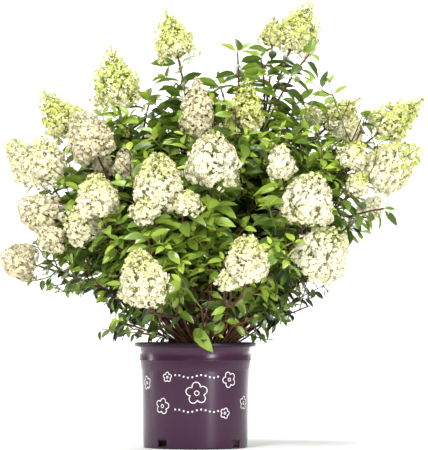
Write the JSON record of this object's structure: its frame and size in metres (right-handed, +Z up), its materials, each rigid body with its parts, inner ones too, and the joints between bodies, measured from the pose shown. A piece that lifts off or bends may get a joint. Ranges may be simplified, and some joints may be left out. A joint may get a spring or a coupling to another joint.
{
  "type": "potted panicle hydrangea",
  "caption": "Flowering shrub with upright cone-shaped flower heads on woody canes, in a round nursery pot.",
  "frame": {"origin": "centre of the pot's flat underside, at ground level", "axes": "+Z up, -Y towards the front that the picture shows, +X to its right"},
  "size_m": [0.9886, 0.803, 1.043],
  "materials": {
    "pot_plastic": "satin plum plastic",
    "potting_mix": "loose dark bark mix",
    "old_bark": "rough flaking bark",
    "cane_bark": "smooth red-brown bark",
    "foliage": "matt green leaf",
    "blossom": "matt cream, white and lime petals"
  },
  "bodies": {
    "root": {"bloom_mass_back_left": "blossom", "bloom_mass_back_left_low": "blossom", "bloom_mass_back_middle": "blossom", "bloom_mass_back_right": "blossom", "bloom_mass_back_right_low": "blossom", "bloom_mass_back_top": "blossom", "bloom_mass_centre_front": "blossom", "bloom_mass_far_left_high": "blossom", "bloom_mass_far_left_low": "blossom", "bloom_mass_far_left_mid": "blossom", "bloom_mass_far_right": "blossom", "bloom_mass_far_right_high": "blossom", "bloom_mass_inner_cream": "blossom", "bloom_mass_left_front": "blossom", "bloom_mass_left_high": "blossom", "bloom_mass_left_inner": "blossom", "bloom_mass_left_top": "blossom", "bloom_mass_low_left": "blossom", "bloom_mass_low_left_front": "blossom", "bloom_mass_low_right_front": "blossom", "bloom_mass_right_front": "blossom", "bloom_mass_right_high": "blossom", "bloom_mass_right_low": "blossom", "bloom_mass_top_left": "blossom", "bloom_mass_top_middle": "blossom", "bloom_mass_top_right": "blossom", "bough_back_left_low": "cane_bark", "bough_back_right_low": "cane_bark", "bough_back_top": "cane_bark", "bough_far_left_mid": "cane_bark", "bough_far_right_high": "cane_bark", "bough_inner_cream": "cane_bark", "bough_left_inner": "cane_bark", "bough_left_top": "cane_bark", "bough_low_left": "cane_bark", "bough_low_left_front": "cane_bark", "bough_low_right_front": "cane_bark", "bough_right_front": "cane_bark", "bough_top_middle": "cane_bark", "cane_back_left": "cane_bark", "cane_back_middle": "cane_bark", "cane_back_right": "cane_bark", "cane_centre_front": "cane_bark", "cane_far_left_high": "cane_bark", "cane_far_left_low": "cane_bark", "cane_far_right": "cane_bark", "cane_left_front": "cane_bark", "cane_left_high": "cane_bark", "cane_right_high": "cane_bark", "cane_right_low": "cane_bark", "cane_top_left": "cane_bark", "cane_top_right": "cane_bark", "low_leaves_back": "foliage", "low_leaves_front": "foliage", "low_leaves_left": "foliage", "low_leaves_right": "foliage", "pot": "pot_plastic", "potting_soil": "potting_mix", "root_crown": "old_bark"}
  },
  "joints": []
}
